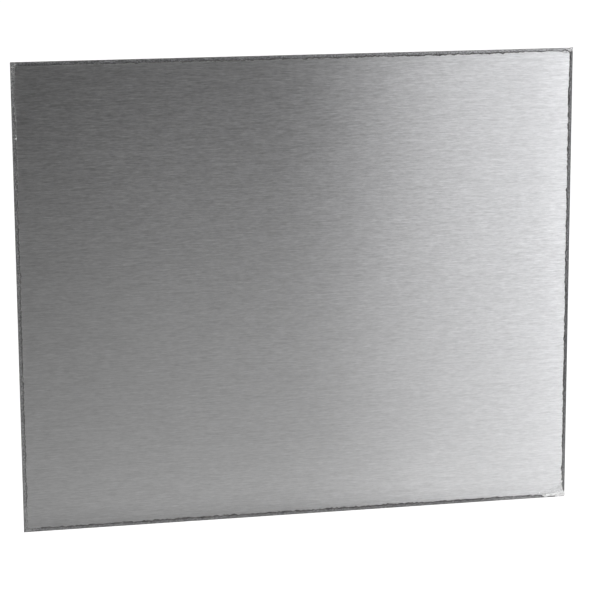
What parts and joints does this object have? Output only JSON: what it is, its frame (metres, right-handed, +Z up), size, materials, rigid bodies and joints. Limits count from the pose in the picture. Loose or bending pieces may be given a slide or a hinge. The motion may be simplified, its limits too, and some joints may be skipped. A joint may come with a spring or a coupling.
{
  "type": "kick plate",
  "caption": "Flat rectangular door kick plate in horizontally brushed steel with bevelled edges, a clear protective film in front, and foam tape strips under peel-off liners behind.",
  "frame": {"origin": "middle of the plane that the door surface takes: the back faces of the foam tape once the release liners are peeled off", "axes": "+X to the right as seen from the front, along the brushed grain; +Z up the door; +Y out of the back, into the door, so the brushed face looks along -Y"},
  "size_m": [0.3, 0.0027, 0.25],
  "materials": {
    "brushed_steel": "satin, brushed along X, with ground bevels round the front edges",
    "clear_film": "clear and glossy",
    "foam_tape": "matt closed-cell foam",
    "release_liner": "semi-gloss film"
  },
  "bodies": {
    "plate": {"steel_plate": "brushed_steel", "foam_tape_top": "foam_tape", "foam_tape_bottom": "foam_tape", "foam_tape_left": "foam_tape", "foam_tape_centre": "foam_tape", "foam_tape_right": "foam_tape"},
    "film": {"protective_film": "clear_film"},
    "liner_top": {"release_liner_top": "release_liner"},
    "liner_bottom": {"release_liner_bottom": "release_liner"},
    "liner_left": {"release_liner_left": "release_liner"},
    "liner_centre": {"release_liner_centre": "release_liner"},
    "liner_right": {"release_liner_right": "release_liner"}
  },
  "joints": [
    {"name": "film_peel", "type": "slide", "parent": "plate", "child": "film", "axis": [0, -1, 0], "range_m": [0, 0.06]},
    {"name": "liner_top_peel", "type": "slide", "parent": "plate", "child": "liner_top", "axis": [0, 1, 0], "range_m": [0, 0.06]},
    {"name": "liner_bottom_peel", "type": "slide", "parent": "plate", "child": "liner_bottom", "axis": [0, 1, 0], "range_m": [0, 0.06]},
    {"name": "liner_left_peel", "type": "slide", "parent": "plate", "child": "liner_left", "axis": [0, 1, 0], "range_m": [0, 0.06]},
    {"name": "liner_centre_peel", "type": "slide", "parent": "plate", "child": "liner_centre", "axis": [0, 1, 0], "range_m": [0, 0.06]},
    {"name": "liner_right_peel", "type": "slide", "parent": "plate", "child": "liner_right", "axis": [0, 1, 0], "range_m": [0, 0.06]}
  ]
}
